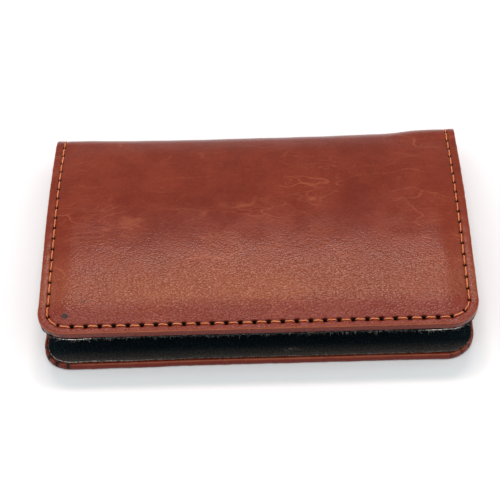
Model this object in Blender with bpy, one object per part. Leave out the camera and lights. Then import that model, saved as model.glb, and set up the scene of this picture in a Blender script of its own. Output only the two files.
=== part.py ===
"""Bifold card holder: two leather-covered board covers joined by a soft rounded spine.

The case lies closed but relaxed on its lower cover. +X runs along the spine, +Y points from the
opening edge to the spine and +Z is up. The origin is at the bottom centre of the whole case.
Each cover is a laminate, built from its outer face inwards: leather, padding (upper cover only),
board, the turned-in leather hem, a lining and a card pocket that opens towards the spine. The
edges are lockstitched: a thread on the outer face and a dark one on the inner face.
"""
import math

import bmesh
import bpy
from mathutils import Matrix, Vector

MM = 0.001

# Whole case
WIDTH = 105.0 * MM
DEPTH = 66.7 * MM
CORNER_RADIUS = 7.5 * MM
LAYER_GAP = 0.05 * MM
CREASE_GAP = 0.3 * MM

# Spine and the relaxed upper cover
SPINE_RADIUS = 6.3 * MM
UPPER_TAIL_SLOPE = math.radians(12.75)
UPPER_FRONT_SETBACK = 0.4 * MM
UPPER_FRONT_HEIGHT = 14.2 * MM
CREST_Y = -2.0 * MM

# Fold axes, one at each edge of the spine
FOLD_BEYOND_SPINE_CENTRE = 5.1 * MM
FOLD_DEPTH = 0.9 * MM

# Layer thicknesses
LEATHER = 0.7 * MM
PADDING = 0.8 * MM
BOARD = 0.5 * MM
HEM = 0.3 * MM
LINING = 0.15 * MM
POCKET = 0.25 * MM
RIM_PROUD = 0.1 * MM
REINFORCEMENT = 0.35 * MM
SPINE_LINING = 0.35 * MM

# Edges, measured in from the cover's outline
RIM_WIDTH = 1.2 * MM
HEM_INSET = 5.2 * MM
BOARD_INSET = 1.0 * MM

# Card pockets
POCKET_MOUTH_FROM_SPINE = 7.0 * MM
THUMB_NOTCH_RADIUS = 9.0 * MM

# Stitching
STITCH_FROM_SIDE = 2.3 * MM
STITCH_FROM_FRONT = 1.95 * MM
THREAD_RADIUS = 0.17 * MM
CHANNEL_RADIUS = 0.30 * MM
THREAD_DEPTH = 0.20 * MM

# Faceting
CORNER_STEPS = 7
COVER_STEPS = 14
SPINE_STEPS = 16
THREAD_SIDES = 6
CHANNEL_SIDES = 8
OVERCUT = 3.0 * MM
SEAM_OVERRUN = 0.1

# Worked out from the above
FRONT_Y = -DEPTH / 2
SPINE_CENTRE_Y = DEPTH / 2 - SPINE_RADIUS
LOWER_REAR_Y = SPINE_CENTRE_Y - CREASE_GAP
UPPER_FRONT_Y = FRONT_Y + UPPER_FRONT_SETBACK
TANGENT_Y = SPINE_CENTRE_Y + SPINE_RADIUS * math.sin(UPPER_TAIL_SLOPE)
UPPER_REAR_Y = TANGENT_Y - CREASE_GAP
REAR_DROP = math.tan(UPPER_TAIL_SLOPE) * (TANGENT_Y - CREST_Y) / 2
CREST_HEIGHT = SPINE_RADIUS * (1 + math.cos(UPPER_TAIL_SLOPE)) + REAR_DROP
FRONT_DROP = CREST_HEIGHT - UPPER_FRONT_HEIGHT
FOLD_Y = SPINE_CENTRE_Y + FOLD_BEYOND_SPINE_CENTRE
SPINE_FOLD = Vector((0, FOLD_Y, FOLD_DEPTH))
COVER_FOLD = Vector((0, FOLD_Y, 2 * SPINE_RADIUS - FOLD_DEPTH))

# Colour, roughness
FINISHES = {
    "leather": ((0.30, 0.085, 0.05), 0.42),
    "padding": ((0.70, 0.68, 0.62), 0.95),
    "board": ((0.42, 0.38, 0.33), 0.85),
    "lining": ((0.025, 0.025, 0.028), 0.95),
    "thread": ((0.60, 0.23, 0.12), 0.60),
    "dark_thread": ((0.03, 0.02, 0.018), 0.70),
}


def clear_scene():
    """Remove every object, so that only this model is left."""
    for old in list(bpy.data.objects):
        bpy.data.objects.remove(old, do_unlink=True)


def finish_material(name):
    """A Principled material with the colour and roughness of one finish."""
    material = bpy.data.materials.get(name)
    if material is None:
        colour, roughness = FINISHES[name]
        material = bpy.data.materials.new(name)
        material.use_nodes = True
        shader = material.node_tree.nodes["Principled BSDF"]
        shader.inputs["Base Color"].default_value = (*colour, 1.0)
        shader.inputs["Roughness"].default_value = roughness
        shader.inputs["Metallic"].default_value = 0.0
    return material


def add_object(name, mesh, finish, pivot=None):
    """Link a mesh modelled in world coordinates, hung from the empty on its fold axis."""
    piece = bpy.data.objects.new(name, mesh)
    piece.data.materials.append(finish_material(finish))
    bpy.context.collection.objects.link(piece)
    if pivot is not None:
        mesh.transform(Matrix.Translation(-pivot["world"]))
        piece.parent = pivot["empty"]
    return piece


def add_pivot(name, world, parent=None):
    """An empty on a fold axis, which the pieces of one moving body hang from."""
    empty = bpy.data.objects.new(name, None)
    bpy.context.collection.objects.link(empty)
    if parent is None:
        empty.location = world
    else:
        empty.parent = parent["empty"]
        empty.location = world - parent["world"]
    return {"empty": empty, "world": world}


def lofted_mesh(name, rings):
    """A closed mesh through rings of points, with a face over the first ring and the last."""
    mesh = bpy.data.meshes.new(name)
    shape = bmesh.new()
    loops = [[shape.verts.new(point) for point in ring] for ring in rings]
    for near, far in zip(loops, loops[1:]):
        for i in range(len(near)):
            j = (i + 1) % len(near)
            shape.faces.new((near[i], near[j], far[j], far[i]))
    shape.faces.new(loops[0][::-1])
    shape.faces.new(loops[-1])
    bmesh.ops.recalc_face_normals(shape, faces=shape.faces)
    shape.to_mesh(mesh)
    shape.free()
    return mesh


def cut(piece, cutter_name, cutter_mesh):
    """Take a cutter's shape out of a piece and leave the cutter as a hidden guide."""
    cutter = bpy.data.objects.new(cutter_name, cutter_mesh)
    bpy.context.collection.objects.link(cutter)
    cutter.hide_render = True
    cutter.display_type = "WIRE"
    boolean = piece.modifiers.new(cutter_name, "BOOLEAN")
    boolean.operation = "DIFFERENCE"
    boolean.object = cutter


def crown_height(y):
    """Height of the relaxed upper cover's outer face: a parabola on each side of its crest."""
    if y < CREST_Y:
        return CREST_HEIGHT - FRONT_DROP * ((CREST_Y - y) / (CREST_Y - UPPER_FRONT_Y)) ** 2
    return CREST_HEIGHT - REAR_DROP * ((y - CREST_Y) / (TANGENT_Y - CREST_Y)) ** 2


def crown_slope(y):
    """Slope angle of the upper cover's outer face, negative where it falls towards the spine."""
    if y < CREST_Y:
        return math.atan(2 * FRONT_DROP * (CREST_Y - y) / (CREST_Y - UPPER_FRONT_Y) ** 2)
    return -math.atan(2 * REAR_DROP * (y - CREST_Y) / (TANGENT_Y - CREST_Y) ** 2)


def lower_point(x, y, depth):
    """A point of the flat lower cover, depth inside its outer face."""
    return Vector((x, y, depth))


def upper_point(x, y, depth):
    """A point of the arched upper cover, depth inside its outer face."""
    slope = crown_slope(y)
    return Vector((x, y + depth * math.sin(slope), crown_height(y) - depth * math.cos(slope)))


def spine_point(x, angle, depth):
    """A point of the rounded spine at an angle from its rearmost line, depth inside its face."""
    radius = SPINE_RADIUS - depth
    return Vector((x, SPINE_CENTRE_Y + radius * math.cos(angle),
                   SPINE_RADIUS + radius * math.sin(angle)))


LOWER = {"point": lower_point, "front": FRONT_Y, "rear": LOWER_REAR_Y, "padding": 0.0}
UPPER = {"point": upper_point, "front": UPPER_FRONT_Y, "rear": UPPER_REAR_Y, "padding": PADDING}


def stations(front, rear, inset):
    """Pairs of y and half width along a cover with rounded front corners."""
    radius = CORNER_RADIUS - inset
    start = front + inset
    half = WIDTH / 2 - inset
    pairs = []
    for step in range(CORNER_STEPS + 1):
        angle = math.pi / 2 * step / CORNER_STEPS
        pairs.append((start + radius * (1 - math.cos(angle)),
                      half - radius * (1 - math.sin(angle))))
    straight = rear - start - radius
    for step in range(1, COVER_STEPS + 1):
        pairs.append((start + radius + straight * step / COVER_STEPS, half))
    return pairs


def plate_mesh(name, cover, inset, depths, rear):
    """One layer of a cover between two depths, inset from the front and side edges."""
    outer, inner = depths
    place = cover["point"]
    rings = []
    for y, half in stations(cover["front"], rear, inset):
        rings.append([place(-half, y, outer), place(half, y, outer),
                      place(half, y, inner), place(-half, y, inner)])
    return lofted_mesh(name, rings)


def spine_mesh(name, depths, half_width):
    """One layer of the spine: an arc between two depths, drawn along the case."""
    outer, inner = depths
    rings = []
    for step in range(SPINE_STEPS + 1):
        angle = spine_angle(step / SPINE_STEPS)
        rings.append([spine_point(-half_width, angle, outer), spine_point(half_width, angle, outer),
                      spine_point(half_width, angle, inner), spine_point(-half_width, angle, inner)])
    return lofted_mesh(name, rings)


def spine_angle(share):
    """Angle along the spine, from the lower cover at 0 to the upper cover at 1."""
    first = -math.pi / 2
    last = math.pi / 2 - UPPER_TAIL_SLOPE
    return first + (last - first) * share


def tube_mesh(name, path, radius, sides, axis=None):
    """A capped round tube through a path. The path turns about axis, or else stays near level."""
    rings = []
    for i, point in enumerate(path):
        ahead = path[min(i + 1, len(path) - 1)]
        behind = path[max(i - 1, 0)]
        along = (ahead - behind).normalized()
        across = axis or along.cross(Vector((0, 0, 1))).normalized()
        up = across.cross(along)
        ring = []
        for side in range(sides):
            angle = 2 * math.pi * (side + 0.5) / sides
            ring.append(point + radius * (math.cos(angle) * across + math.sin(angle) * up))
        rings.append(ring)
    return lofted_mesh(name, rings)


def seam_path(cover, rear, depth):
    """The stitch line round one cover: up a side, across the front and back down the other."""
    radius = CORNER_RADIUS - STITCH_FROM_SIDE
    half = WIDTH / 2 - STITCH_FROM_SIDE
    front = cover["front"] + STITCH_FROM_FRONT
    side = []
    straight = rear - front - radius
    for step in range(COVER_STEPS + 1):
        side.append((half, rear - straight * step / COVER_STEPS))
    for step in range(1, CORNER_STEPS + 1):
        angle = math.pi / 2 * step / CORNER_STEPS
        side.append((half - radius * (1 - math.cos(angle)), front + radius * (1 - math.sin(angle))))
    outline = side + [(-x, y) for x, y in reversed(side)]
    return [cover["point"](x, y, depth) for x, y in outline]


def spine_seam_path(x, overrun, depth):
    """The stitch line over one end of the spine."""
    path = []
    for step in range(SPINE_STEPS + 1):
        share = -overrun + (1 + 2 * overrun) * step / SPINE_STEPS
        path.append(spine_point(x, spine_angle(share), depth))
    return path


def build_cover(prefix, cover, pivot=None):
    """All the layers of one cover and its stitching."""
    rear = cover["rear"]
    past = rear + OVERCUT
    padding_top = LEATHER + LAYER_GAP
    board_top = padding_top
    if cover["padding"]:
        padding_end = padding_top + cover["padding"]
        board_top = padding_end + LAYER_GAP
        mesh = plate_mesh("padding", cover, BOARD_INSET, (padding_top, padding_end), rear)
        add_object(prefix + "_cover_padding", mesh, "padding", pivot)
    board_end = board_top + BOARD
    hem_top = board_end + LAYER_GAP
    hem_end = hem_top + HEM
    lining_top = hem_end + LAYER_GAP
    lining_end = lining_top + LINING
    pocket_top = lining_end + LAYER_GAP
    pocket_end = pocket_top + POCKET
    rim_end = pocket_end + RIM_PROUD

    mesh = plate_mesh("board", cover, BOARD_INSET, (board_top, board_end), rear)
    add_object(prefix + "_cover_board", mesh, "board", pivot)

    mesh = plate_mesh("leather", cover, 0.0, (0.0, rim_end), rear)
    leather = add_object(prefix + "_cover_leather", mesh, "leather", pivot)
    core = plate_mesh("core", cover, BOARD_INSET - LAYER_GAP, (LEATHER, hem_top), past)
    cut(leather, prefix + "_core_cutter", core)
    recess = plate_mesh("recess", cover, RIM_WIDTH, (hem_end, rim_end + OVERCUT), past)
    cut(leather, prefix + "_recess_cutter", recess)
    window = plate_mesh("window", cover, HEM_INSET, (board_top, lining_end), past)
    cut(leather, prefix + "_window_cutter", window)
    seam = seam_path(cover, past, THREAD_DEPTH)
    channel = tube_mesh("channel", seam, CHANNEL_RADIUS, CHANNEL_SIDES)
    cut(leather, prefix + "_channel_cutter", channel)

    mesh = plate_mesh("lining", cover, RIM_WIDTH + LAYER_GAP, (lining_top, lining_end), rear)
    add_object(prefix + "_cover_lining", mesh, "lining", pivot)

    mouth = rear - POCKET_MOUTH_FROM_SPINE
    mesh = plate_mesh("pocket", cover, RIM_WIDTH + LAYER_GAP, (pocket_top, pocket_end), mouth)
    pocket = add_object(prefix + "_card_pocket", mesh, "lining", pivot)
    notch_centre = cover["point"](0, mouth, pocket_end)
    notch = bpy.data.meshes.new("notch")
    shape = bmesh.new()
    bmesh.ops.create_cone(shape, cap_ends=True, segments=32, radius1=THUMB_NOTCH_RADIUS,
                          radius2=THUMB_NOTCH_RADIUS, depth=4 * OVERCUT,
                          matrix=Matrix.Translation(notch_centre))
    shape.to_mesh(notch)
    shape.free()
    cut(pocket, prefix + "_notch_cutter", notch)

    seam = seam_path(cover, rear, THREAD_DEPTH)
    thread = tube_mesh("thread", seam, THREAD_RADIUS, THREAD_SIDES)
    add_object(prefix + "_cover_stitching", thread, "thread", pivot)
    seam = seam_path(cover, rear, pocket_end + LAYER_GAP + THREAD_RADIUS)
    thread = tube_mesh("thread", seam, THREAD_RADIUS, THREAD_SIDES)
    add_object(prefix + "_cover_inner_stitching", thread, "dark_thread", pivot)


def build_spine(pivot):
    """The leather, reinforcement, lining and end stitching between the two folds."""
    half = WIDTH / 2
    leather = add_object("spine_leather", spine_mesh("leather", (0.0, LEATHER), half), "leather", pivot)
    inner = LEATHER + LAYER_GAP
    layer = (inner, inner + REINFORCEMENT)
    mesh = spine_mesh("reinforcement", layer, half - BOARD_INSET)
    add_object("spine_reinforcement", mesh, "board", pivot)
    inner = inner + REINFORCEMENT + LAYER_GAP
    layer = (inner, inner + SPINE_LINING)
    add_object("spine_lining", spine_mesh("lining", layer, half - RIM_WIDTH), "lining", pivot)
    inner_thread_depth = inner + SPINE_LINING + LAYER_GAP + THREAD_RADIUS
    axis = Vector((1, 0, 0))
    for name, sign in (("left", -1), ("right", 1)):
        x = sign * (half - STITCH_FROM_SIDE)
        seam = spine_seam_path(x, SEAM_OVERRUN, THREAD_DEPTH)
        channel = tube_mesh("channel", seam, CHANNEL_RADIUS, CHANNEL_SIDES, axis)
        cut(leather, "spine_channel_cutter_" + name, channel)
        seam = spine_seam_path(x, 0.0, THREAD_DEPTH)
        thread = tube_mesh("thread", seam, THREAD_RADIUS, THREAD_SIDES, axis)
        add_object("spine_stitching_" + name, thread, "thread", pivot)
        seam = spine_seam_path(x, 0.0, inner_thread_depth)
        thread = tube_mesh("thread", seam, THREAD_RADIUS, THREAD_SIDES, axis)
        add_object("spine_inner_stitching_" + name, thread, "dark_thread", pivot)


def main():
    """Build the whole case."""
    clear_scene()
    spine_pivot = add_pivot("spine_fold_axis", SPINE_FOLD)
    cover_pivot = add_pivot("cover_fold_axis", COVER_FOLD, spine_pivot)
    build_cover("lower", LOWER)
    build_spine(spine_pivot)
    build_cover("upper", UPPER, cover_pivot)


main()
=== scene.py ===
"""Looks of the bifold card holder: leather skin, stitching, suede lining, pockets and foam.

All lengths below are in millimetres until a mesh is made. The leather is described on its
developed blank: u runs along the case, w from a cover's front edge over its outer face to the
middle of the spine, and depth is measured inwards from the outer face.
"""
import math

import bmesh
import bpy
import numpy as np
from mathutils import Matrix, Vector
from mathutils.geometry import delaunay_2d_cdt


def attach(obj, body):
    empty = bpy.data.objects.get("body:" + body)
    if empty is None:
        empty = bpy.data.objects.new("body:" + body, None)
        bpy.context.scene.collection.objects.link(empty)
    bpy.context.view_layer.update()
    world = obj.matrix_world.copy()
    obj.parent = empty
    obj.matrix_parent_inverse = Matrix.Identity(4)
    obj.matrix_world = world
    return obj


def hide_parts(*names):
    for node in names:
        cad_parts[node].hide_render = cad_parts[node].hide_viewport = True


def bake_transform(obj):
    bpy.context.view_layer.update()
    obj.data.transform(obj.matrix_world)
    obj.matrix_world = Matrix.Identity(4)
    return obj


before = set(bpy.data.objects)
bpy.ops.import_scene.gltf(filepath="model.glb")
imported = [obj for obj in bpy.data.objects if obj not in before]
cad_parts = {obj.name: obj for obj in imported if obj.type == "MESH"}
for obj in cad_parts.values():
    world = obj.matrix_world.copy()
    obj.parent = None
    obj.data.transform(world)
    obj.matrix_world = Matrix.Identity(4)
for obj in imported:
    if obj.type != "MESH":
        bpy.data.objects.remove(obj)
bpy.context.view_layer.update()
scene = bpy.context.scene

MM = 0.001

# ---- the shape of the case
HALF_WIDTH = 52.5
FRONT_Y = -33.35
CORNER_RADIUS = 7.5
SPINE_RADIUS = 6.3
SPINE_CENTRE_Y = 27.05
TAIL_SLOPE = math.radians(12.75)
UPPER_FRONT_Y = FRONT_Y + 0.4
UPPER_FRONT_HEIGHT = 14.2
CREST_Y = -2.0
TANGENT_Y = SPINE_CENTRE_Y + SPINE_RADIUS * math.sin(TAIL_SLOPE)
REAR_DROP = math.tan(TAIL_SLOPE) * (TANGENT_Y - CREST_Y) / 2
CREST_HEIGHT = SPINE_RADIUS * (1 + math.cos(TAIL_SLOPE)) + REAR_DROP
FRONT_DROP = CREST_HEIGHT - UPPER_FRONT_HEIGHT
SPINE_SAG = 0.32

# ---- seams
PITCH = 3.32
SEAM_FRONT_INSET = 1.94
SEAM_SIDE_INSET = 2.34
SEAM_PHASE = 0.87 + PITCH / 2
SEAM_RADIUS = CORNER_RADIUS - (SEAM_FRONT_INSET + SEAM_SIDE_INSET) / 2
THREAD_RADIUS = 0.155

# ---- leather section
INNER_SIDE = 0.55  # depth of the skin's inner side
BAND_INSET = 5.6  # width of the finely modelled margin
HEM_REACH = 4.4  # how far the hem runs in from the edge
HEM_THICKNESS = 0.3
OUTER_START = 0.6  # inset of the outer face's last row, where the rounded edge begins
EDGE_RADIUS = 0.34
ZONES = {  # thickness at the turned edge, and depth of the hem's face, for each zone
    "lower": (1.95, 1.65),
    "spine": (1.50, 1.25),
    "upper": (2.50, 2.45),
}
LINING_THICKNESS = 0.15
LINING_GAP = 0.03  # between the hem's face and the lining
BOARD_DEPTH = {"lower": 0.75, "upper": 1.62}
BOARD_THICKNESS = 0.46
BOARD_INSET = 1.05
BOARD_GAP = 1.4  # between a board and its crease
PANEL_THICKNESS = 0.30
PANEL_INSET = {"lower": 1.02, "upper": 0.26}
PANEL_SLACK = {"lower": 0.30, "upper": 0.22}
LINING_INSET = 1.2
MOUTH_FROM_SPINE = 7.0
NOTCH_RADIUS = 9.0
PADDING_INSET = 2.9
PADDING_GAP = 2.0
PADDING_DEPTH = (0.60, 1.55)
STIFFENER_DEPTH = (0.60, 0.90)
STIFFENER_INSET = 2.9
FIBRE_RADIUS = 0.028
FIBRE_COUNT = {"lower": 900, "upper": 600}
RIPPLE_WAVES = 9
INNER_THREAD_RADIUS = 0.13
BLEMISHES = ((-45.6, 135.7, 1.5, 1.0), (-41.3, 132.1, 0.8, 0.75))  # u, v, size, strength


# ---- developed section of the case
def build_section():
    """The outer face's section, sampled evenly along its developed length."""
    y = [FRONT_Y, SPINE_CENTRE_Y]
    z = [0.0, 0.0]
    for angle in np.linspace(-math.pi / 2, math.pi / 2 - TAIL_SLOPE, 240)[1:]:
        y.append(SPINE_CENTRE_Y + SPINE_RADIUS * math.cos(angle))
        z.append(SPINE_RADIUS + SPINE_RADIUS * math.sin(angle))
    for at in np.linspace(TANGENT_Y, UPPER_FRONT_Y, 400)[1:]:
        if at > CREST_Y:
            drop = REAR_DROP * ((at - CREST_Y) / (TANGENT_Y - CREST_Y)) ** 2
        else:
            drop = FRONT_DROP * ((CREST_Y - at) / (CREST_Y - UPPER_FRONT_Y)) ** 2
        y.append(at)
        z.append(CREST_HEIGHT - drop)
    y, z = np.array(y), np.array(z)
    along = np.concatenate([[0], np.cumsum(np.hypot(np.diff(y), np.diff(z)))])
    even = np.linspace(0, along[-1], 1500)
    y, z = np.interp(even, along, y), np.interp(even, along, z)
    tangent_y, tangent_z = np.gradient(y), np.gradient(z)
    size = np.hypot(tangent_y, tangent_z)
    return {"along": even, "y": y, "z": z, "ny": tangent_z / size, "nz": -tangent_y / size}


SECTION = build_section()
LENGTH = SECTION["along"][-1]
LOWER_CREASE = SPINE_CENTRE_Y - FRONT_Y
SPINE_ARC = SPINE_RADIUS * (math.pi - TAIL_SLOPE)
UPPER_CREASE = LOWER_CREASE + SPINE_ARC
MIDDLE = LOWER_CREASE + SPINE_RADIUS * math.pi / 2
REACH = {"lower": MIDDLE, "upper": LENGTH - MIDDLE}
CREASE = {"lower": LOWER_CREASE, "upper": LENGTH - UPPER_CREASE}
MOUTH = {side: crease - MOUTH_FROM_SPINE for side, crease in CREASE.items()}


def smooth(value, start, end):
    """Smoothstep of an array between start and end."""
    share = np.clip((value - start) / (end - start), 0, 1)
    return share * share * (3 - 2 * share)


def developed(side, w):
    """Distance along the whole section, from the lower cover's front edge."""
    return w if side == "lower" else LENGTH - w


def pairs(first, second):
    return np.stack([first, second], -1)


def on_blank(side, u, w):
    """Points on the whole case's blank, where the leather's pattern is laid out."""
    return pairs(u, developed(side, w))


def zone_value(side, w, which):
    """A section size that changes smoothly from the lower cover through the spine to the upper."""
    v = developed(side, w)
    low, mid, high = (ZONES[zone][which] for zone in ("lower", "spine", "upper"))
    return low + (mid - low) * smooth(v, LOWER_CREASE - 0.8, LOWER_CREASE + 3.2) + (
        high - mid) * smooth(v, UPPER_CREASE - 3.6, UPPER_CREASE + 0.8)


def ripple(u, v, wavelength, seed):
    """Seeded smooth unevenness between about -1 and 1."""
    draw = np.random.default_rng(seed)
    total = np.zeros(np.broadcast(u, v).shape)
    for _ in range(RIPPLE_WAVES):
        heading = draw.uniform(0, 2 * math.pi)
        length = wavelength * draw.uniform(0.7, 1.5)
        phase = draw.uniform(0, 2 * math.pi)
        total += np.sin(2 * math.pi * (u * math.cos(heading) + v * math.sin(heading)) / length + phase)
    return total / math.sqrt(RIPPLE_WAVES * 2)


# ---- the U-shaped margin of one half
STRAIGHT = HALF_WIDTH - CORNER_RADIUS
ARC = SEAM_RADIUS * math.pi / 2


def side_arc(w):
    """Arc length along the margin, from the middle of the front to a point w up one side."""
    return STRAIGHT + ARC + w - CORNER_RADIUS


def margin_point(a, d):
    """Blank coordinates u, w of points at arc length a along the margin and d inside the edge."""
    side = np.sign(a)
    beyond = np.abs(a) - STRAIGHT
    angle = np.clip(beyond / SEAM_RADIUS, 0, math.pi / 2)
    radius = CORNER_RADIUS - d
    u_corner = STRAIGHT + radius * np.sin(angle)
    w_corner = CORNER_RADIUS - radius * np.cos(angle)
    u = np.where(beyond < 0, a, side * u_corner)
    w = np.where(beyond < 0, d + 0 * a, w_corner)
    return u, np.where(beyond > ARC, CORNER_RADIUS + beyond - ARC, w)


def margin_of(u, w):
    """Arc length and inset of points given on the blank."""
    past_u = np.abs(u) - STRAIGHT
    past_w = CORNER_RADIUS - w
    corner = (past_u > 0) & (past_w > 0)
    angle = np.arctan2(past_u, np.maximum(past_w, 1e-9))
    side_inset = HALF_WIDTH - np.abs(u)
    a = np.where(side_inset < w, np.sign(u) * side_arc(w), np.clip(u, -STRAIGHT, STRAIGHT))
    a = np.where(corner, np.sign(u) * (STRAIGHT + SEAM_RADIUS * angle), a)
    d = np.where(corner, CORNER_RADIUS - np.hypot(past_u, past_w), np.minimum(side_inset, w))
    return a, d


def spread(side, a):
    """How far the cut edge stands outside the drawn outline, at arc lengths a of the margin."""
    corner = STRAIGHT + ARC * 0.5
    if side == "lower":
        out = 0.08 + 0.26 * smooth(-a, 8, 40) * (1 - smooth(-a, corner - 3, corner + 5))
        out = out - 0.34 * smooth(-a, corner - 1, corner + 6) - 0.26 * smooth(a, corner - 4, corner + 4)
        return out + 0.42 * np.exp(-((a + corner) / 3.0) ** 2)
    out = -0.33 * smooth(-a, corner, corner + 5) - 0.2 * smooth(a, corner, corner + 5)
    return (out + 0.42 * np.exp(-((a + corner + 0.5) / 2.8) ** 2)
            + 0.16 * np.exp(-((a - corner - 1) / 2.8) ** 2))


def warp(side, u, w):
    """Moves blank points near the margin outwards to where the cut edge really runs."""
    a, d = margin_of(u, w)
    push = spread(side, a) * (1 - smooth(d, 0, 8))
    beyond = np.clip((np.abs(a) - STRAIGHT) / SEAM_RADIUS, 0, math.pi / 2)
    return u + push * np.sign(a) * np.sin(beyond), w - push * np.cos(beyond)


def place(side, u, w, depth):
    """Points in the row frame, in metres, for arrays of u, w and depth."""
    u, w, depth = np.broadcast_arrays(u, w, depth)
    u, w = warp(side, u, w)
    v = developed(side, w)
    past = np.minimum(v, 0) + np.maximum(v - LENGTH, 0)
    y, z, ny, nz = (np.interp(v, SECTION["along"], SECTION[key]) for key in ("y", "z", "ny", "nz"))
    y = y - nz * past
    z = z + ny * past
    swell = 0.66 * smooth(u, 32, 43) + 0.30 * smooth(-u, 22, 47) - SPINE_SAG * (1 - (u / HALF_WIDTH) ** 2)
    swell = swell * smooth(v, MIDDLE - 4, MIDDLE + 3) * (1 - smooth(v, UPPER_CREASE - 3, UPPER_CREASE + 4))
    depth = depth - swell
    return np.stack([u, y - depth * ny, z - depth * nz], -1) * MM


def seam_inset(a):
    """Inset of the stitch line, a little wider on the sides than on the front."""
    return SEAM_FRONT_INSET + (SEAM_SIDE_INSET - SEAM_FRONT_INSET) * smooth(
        np.abs(a), STRAIGHT - 4, STRAIGHT + ARC)


def seam_holes():
    """Arc lengths of the needle holes of each half. They run on evenly over the spine."""
    end = side_arc(REACH["upper"])
    last = math.floor((end - SEAM_PHASE) / PITCH)
    first = math.ceil((-end - SEAM_PHASE) / PITCH)
    upper = SEAM_PHASE + PITCH * np.arange(first, last + 1)
    lower_end = side_arc(REACH["lower"])
    right = lower_end - (PITCH - (end - upper[-1]))
    left = -lower_end + (PITCH - (end + upper[0]))
    count = round((right - left) / PITCH)
    return {"upper": upper, "lower": np.linspace(left, right, count + 1)}


HOLES = seam_holes()


def from_hole(side, a):
    """Distance along the seam from the nearest needle hole."""
    holes = np.concatenate([[HOLES[side][0] - PITCH], HOLES[side], [HOLES[side][-1] + PITCH]])
    after = np.clip(np.searchsorted(holes, a), 1, len(holes) - 1)
    before = a - holes[after - 1]
    ahead = holes[after] - a
    return np.minimum(np.abs(before), np.abs(ahead))


# ---- relief of the leather
CROWN = {"lower": 0.10, "upper": 0.58}
HOLE_DEPTH = {"lower": 0.50, "upper": 1.25}
SPINE_HOLE_DEPTH = 0.45
FLUSH = -0.12  # height of the lower cover's face where it lies on the table
SEAM_GROOVE = 0.42  # half width of the groove along the stitches


def crown(side, w, a, d):
    """Rise of the face over the filling, just inside the stitch line."""
    to_crease = CREASE[side] - w
    return CROWN[side] * smooth(d - seam_inset(a), 0.1, 5.6) * smooth(to_crease, -3, 6)


def hole_reach(a, near, inside):
    """Squared distance from a needle hole, as a share of its size. Holes are widest in front."""
    wide = 1.55 - 0.5 * smooth(np.abs(a), STRAIGHT - 2, STRAIGHT + 3)
    return (near / (0.34 * wide)) ** 2 + (inside / (0.29 * wide)) ** 2


def relief(side, u, w, a, d, holes=True):
    """Height of the leather's outer face above the nominal face."""
    inside = d - seam_inset(a)
    past_crease = w - CREASE[side]
    near = from_hole(side, a)
    height = crown(side, w, a, d)
    height = height + 0.07 * np.clip(1 - ((inside + 1.1) / 0.95) ** 2, 0, 1)
    height = height - 0.17 * np.exp(-(inside / SEAM_GROOVE) ** 2)
    height = height - 0.10 * np.exp(-(inside / 0.95) ** 2 - (near / 0.75) ** 2)
    if holes:
        deep = HOLE_DEPTH[side] + (SPINE_HOLE_DEPTH - HOLE_DEPTH[side]) * smooth(past_crease, -7, -2)
        height = height - deep * np.exp(-hole_reach(a, near, inside) ** 1.8)
    v = developed(side, w)
    uneven = 0.05 * ripple(u, v, 19, 3) * smooth(inside, 1, 5)
    uneven = uneven + 0.025 * ripple(u, v, 7, 4) * smooth(inside, 0.5, 3)
    if side == "lower":
        free = smooth(past_crease, 0, 6)
        return height + uneven * free + FLUSH * (1 - free)
    return height + uneven


def leather_profile():
    """Rows (inset, kind, value) of the skin's closed section, from the face round the turned edge
    to the hem, and back along its inner side."""
    outer = (BAND_INSET, 5.0, 4.45, 4.0, 3.65, 3.35, 3.1, 2.88, 2.7, 2.55, 2.42, 2.3, 2.18, 2.06, 1.94,
             1.82, 1.68, 1.5, 1.28, 1.04, 0.8, OUTER_START)
    rows = [(d, "outer", 0.0) for d in outer]
    rows += [(0.0, "shoulder", math.radians(angle)) for angle in (15, 33, 52, 71, 90)]
    rows += [(0.0, "wall", share) for share in (0.33, 0.67)]
    rows += [(0.0, "turn", math.radians(angle)) for angle in (0, 18, 36, 54, 72, 90)]
    rows += [(d, "hem", share) for d, share in ((0.68, 0.3), (0.8, 0.8), (0.95, 1.0), (2.6, 1.0),
                                                (HEM_REACH, 1.0))]
    rows += [(HEM_REACH, "under", 0.0), (1.1, "under", 0.0), (0.62, "fold", 0.0)]
    rows += [(d, "inner", 0.0) for d in (0.75, 1.35, 1.65, 1.94, 2.2, 2.5, 2.9, 3.5, BAND_INSET)]
    return rows


SHOULDER_LOOK = ((0.05, 0.0), (0.45, 0.0), (1.0, 0.0), (0.15, 0.8), (0.0, 1.0))  # edge wear with its painted ridge highlight, and band, of each shoulder row
# edge wear with a painted highlight on the turn rows, which make the lower cover's visible ridge
TURN_WEAR_AND_HIGHLIGHT = (0.0, 0.0, 0.2, 0.5, 0.22, 0.06)
PLEATS = [STRAIGHT + ARC * share for share in (0.10, 0.34, 0.56, 0.80)]
PLEAT_WIDTH = 0.32


def pleats(side, a):
    """Gathers of the hem at the corners, deepest at the lower cover's left corner."""
    depth = np.zeros(np.shape(a))
    for sign, strength in ((-1, 1.0), (1, 0.35)):
        if side == "upper":
            strength = 0.3 * strength
        for fold, deep in zip(PLEATS, (0.8, 1.15, 1.15, 0.75)):
            depth = depth + strength * deep * np.exp(-((a - sign * fold) / PLEAT_WIDTH) ** 2)
    return depth


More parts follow.
